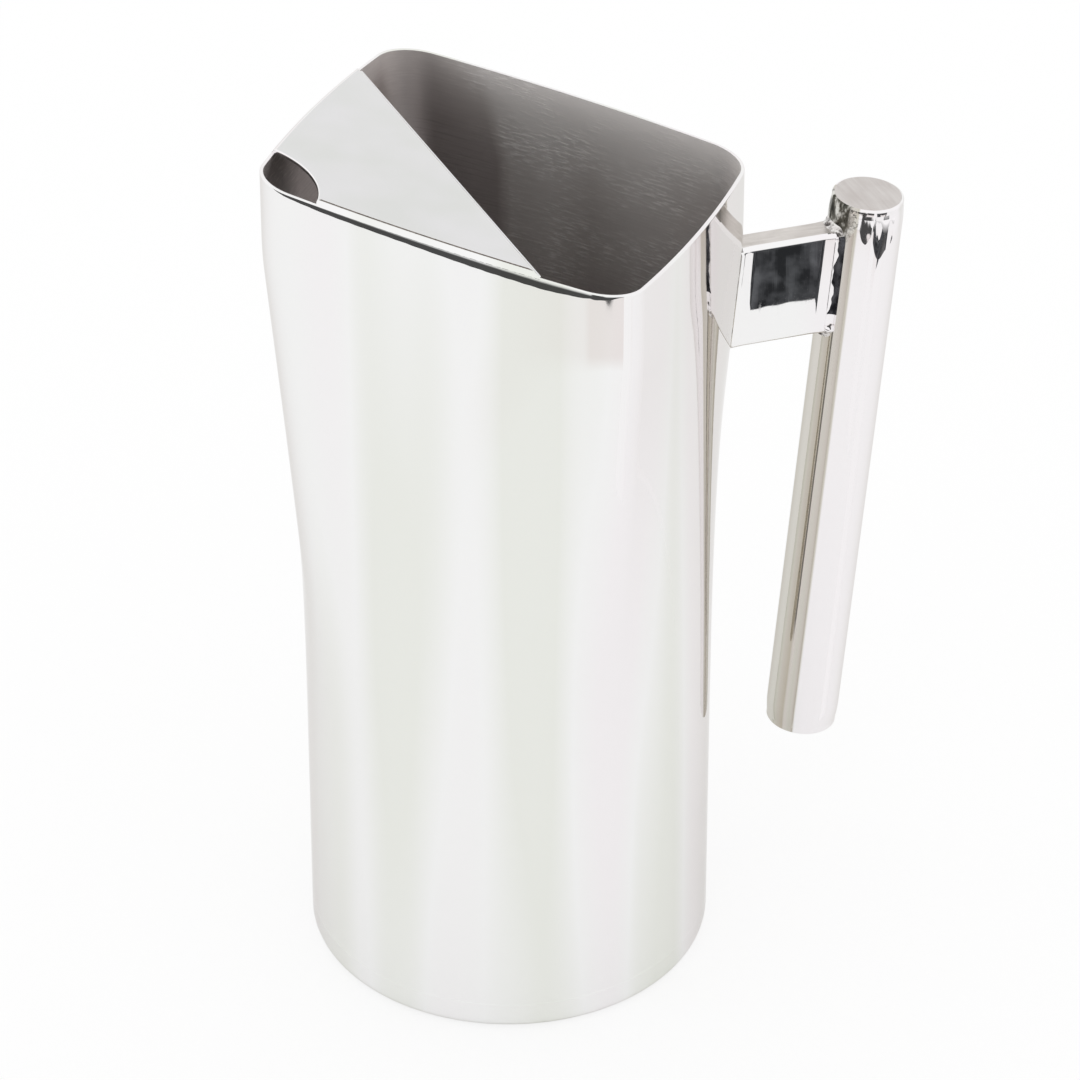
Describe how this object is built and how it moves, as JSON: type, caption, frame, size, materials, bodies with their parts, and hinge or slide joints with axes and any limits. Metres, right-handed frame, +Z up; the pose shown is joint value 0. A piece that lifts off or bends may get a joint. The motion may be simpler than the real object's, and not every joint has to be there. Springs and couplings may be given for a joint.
{
  "type": "pitcher",
  "caption": "Steel pitcher with a round foot, a square slanted mouth, an ice guard over the spout corner and a rod handle on a welded arm.",
  "frame": {"origin": "centre of the flat face that the pitcher stands on, on the axis of its round body", "axes": "+Z up along the body's axis, +X towards the handle, the spout points along -X, the XZ plane is the plane of symmetry"},
  "size_m": [0.1736, 0.1274, 0.2413],
  "materials": {
    "polished_steel": "polished",
    "satin_steel": "satin",
    "weld_steel": "satin"
  },
  "bodies": {
    "root": {"body_shell": "polished_steel", "base_pan": "polished_steel", "base_seam_weld": "weld_steel", "ice_guard": "satin_steel", "guard_weld_front": "weld_steel", "guard_weld_back": "weld_steel", "handle_arm": "polished_steel", "arm_body_weld": "weld_steel", "arm_rod_weld": "weld_steel", "handle_rod": "polished_steel", "rod_top_cap": "satin_steel", "rod_bottom_cap": "satin_steel"}
  },
  "joints": []
}
